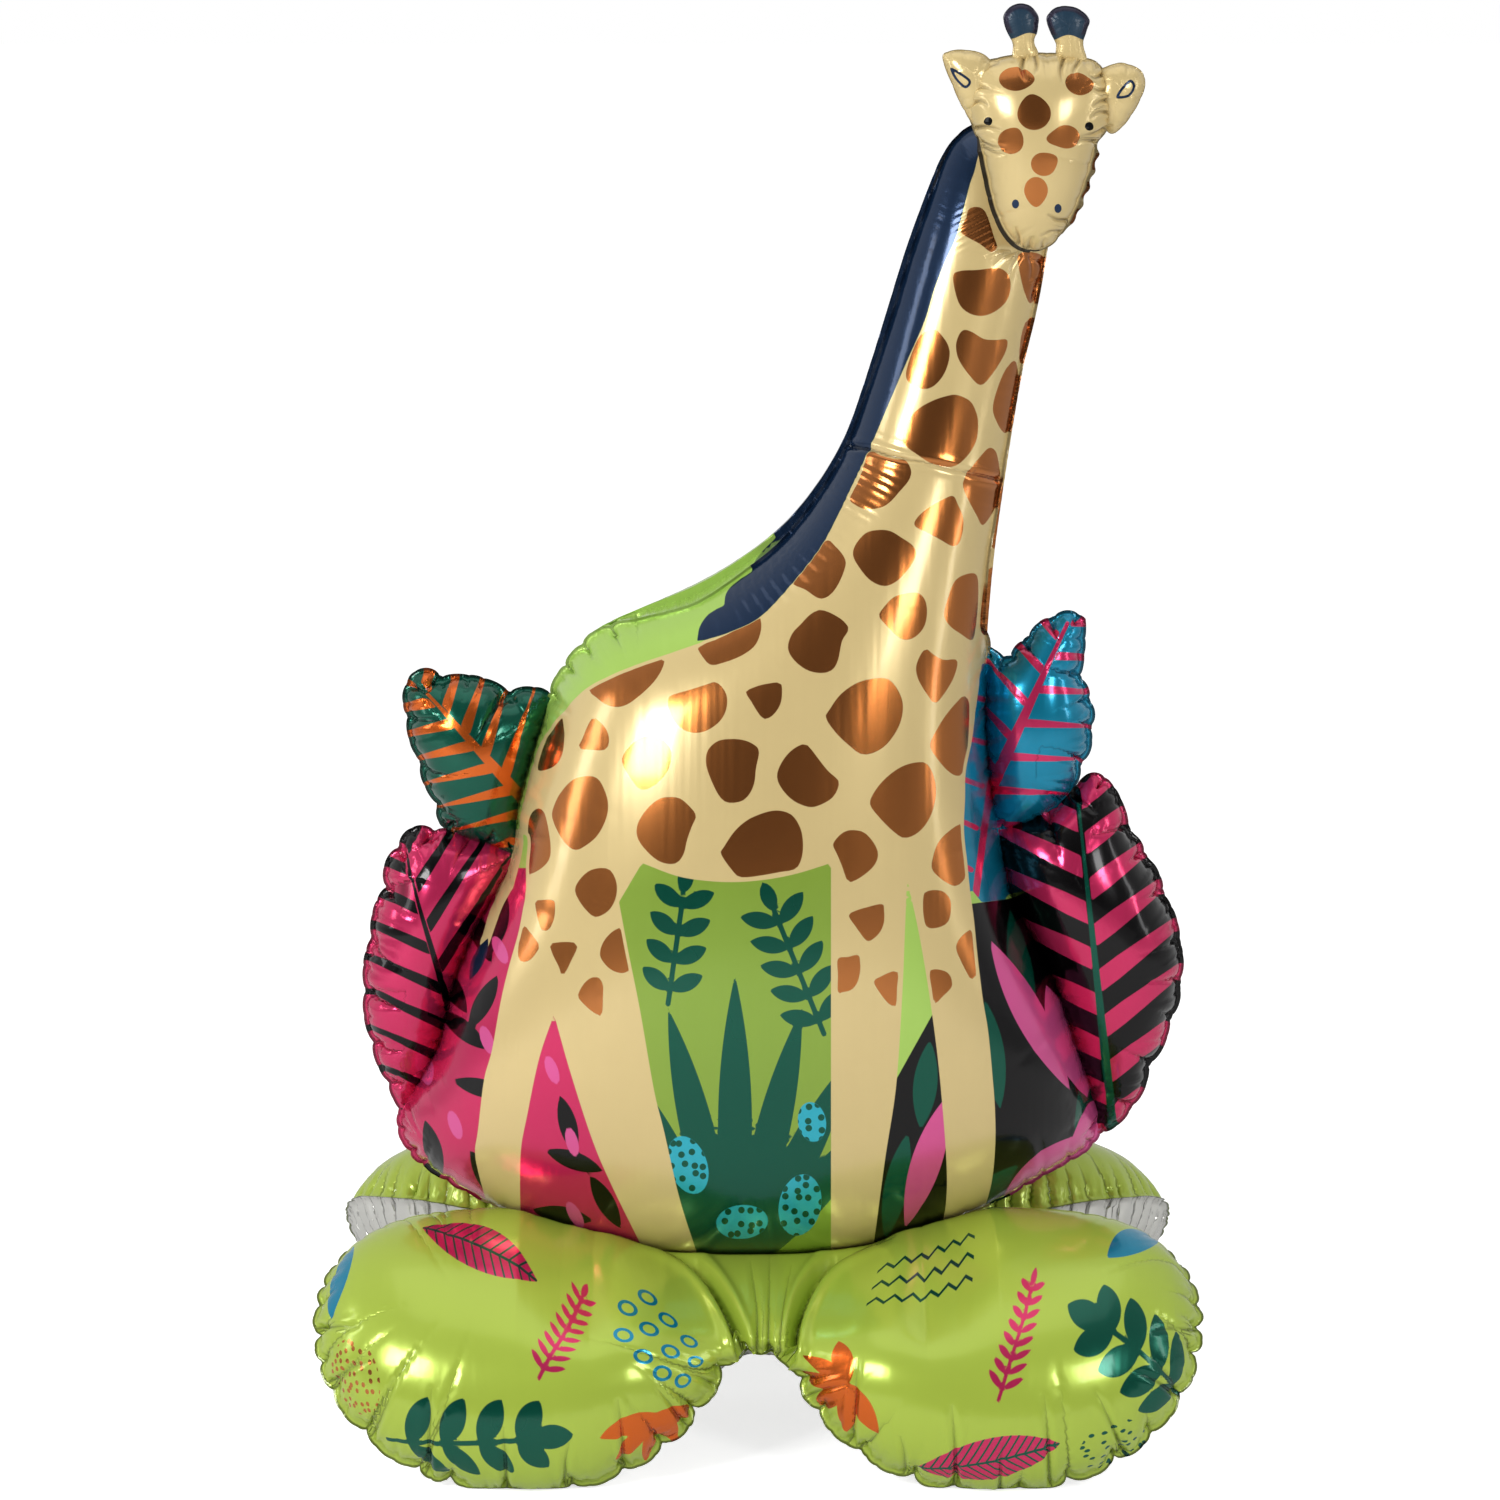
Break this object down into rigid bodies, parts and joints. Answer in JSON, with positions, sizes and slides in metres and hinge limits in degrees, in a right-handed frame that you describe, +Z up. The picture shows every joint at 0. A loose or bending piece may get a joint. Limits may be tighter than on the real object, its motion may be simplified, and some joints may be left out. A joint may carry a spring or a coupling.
{
  "type": "giraffe foil balloon",
  "caption": "Air-filled standing foil balloon of a giraffe: spotted body with leaf lobes, upright neck, small head, and a cushion base of foil pads.",
  "frame": {"origin": "on the floor, at the centre of the part's footprint box", "axes": "+Z up, the longest side; -Y is the front, where the head looks; +X is the neck's side, on the right seen from the front"},
  "size_m": [0.8496, 0.5811, 1.3909],
  "materials": {
    "body_foil": "printed metallised film, satin, creased along the seams",
    "head_foil": "printed metallised film, satin",
    "base_foil": "printed metallised film, glossy lime outside, bare silver underneath"
  },
  "bodies": {
    "root": {"body_balloon": "body_foil", "head_balloon": "head_foil", "base_cushion": "base_foil"}
  },
  "joints": []
}
